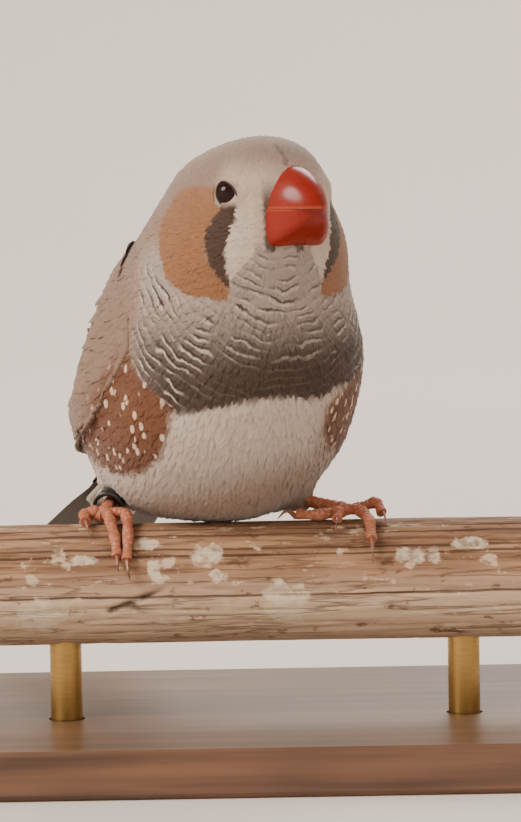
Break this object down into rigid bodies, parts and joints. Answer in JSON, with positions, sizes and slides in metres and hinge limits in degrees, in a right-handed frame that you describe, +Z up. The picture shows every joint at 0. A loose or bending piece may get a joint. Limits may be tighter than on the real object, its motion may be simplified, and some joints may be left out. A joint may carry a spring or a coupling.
{
  "type": "zebra finch on a perch",
  "caption": "Still, life-size zebra finch cock crouched on a cut length of round wooden perch, which stands on short rods over a flat base.",
  "frame": {"origin": "centre of the stand base's underside", "axes": "+Z up, X along the perch with +X on the bird's left, and the viewer on the -Y side, to which the bird's breast is turned"},
  "size_m": [0.094, 0.0826, 0.0786],
  "materials": {
    "body_plumage": "soft small feathers, white belly, dark breast band, chestnut flanks with pale spots",
    "neck_plumage": "soft small feathers, grey-beige nape, grey throat with fine dark bars",
    "head_plumage": "very short feathers, grey-beige crown, orange-tan cheeks, white stripe and dark bar below the eye",
    "bill": "glossy orange-red horn",
    "eye": "wet, nearly black brown",
    "wing_plumage": "smooth vanes in tiers, grey-beige with paler edges",
    "tail_plumage": "smooth grey-brown vanes with pale edges",
    "leg": "orange scaly skin with pale horn claws",
    "leg_ring": "plain glossy black, with no text",
    "perch_wood": "weathered brown wood with lengthwise grooves, a crack and pale stains",
    "stand_wood": "dark oiled wood with a satin surface",
    "stand_rod": "dull brushed brass"
  },
  "bodies": {
    "root": {"torso": "body_plumage", "neck": "neck_plumage", "head": "head_plumage", "bill_upper": "bill", "bill_lower": "bill", "eye_left": "eye", "eye_right": "eye", "wing_left": "wing_plumage", "wing_right": "wing_plumage", "tail": "tail_plumage", "leg_left": "leg", "leg_right": "leg", "leg_ring": "leg_ring", "perch": "perch_wood", "stand_base": "stand_wood", "stand_rod_left": "stand_rod", "stand_rod_right": "stand_rod"}
  },
  "joints": []
}
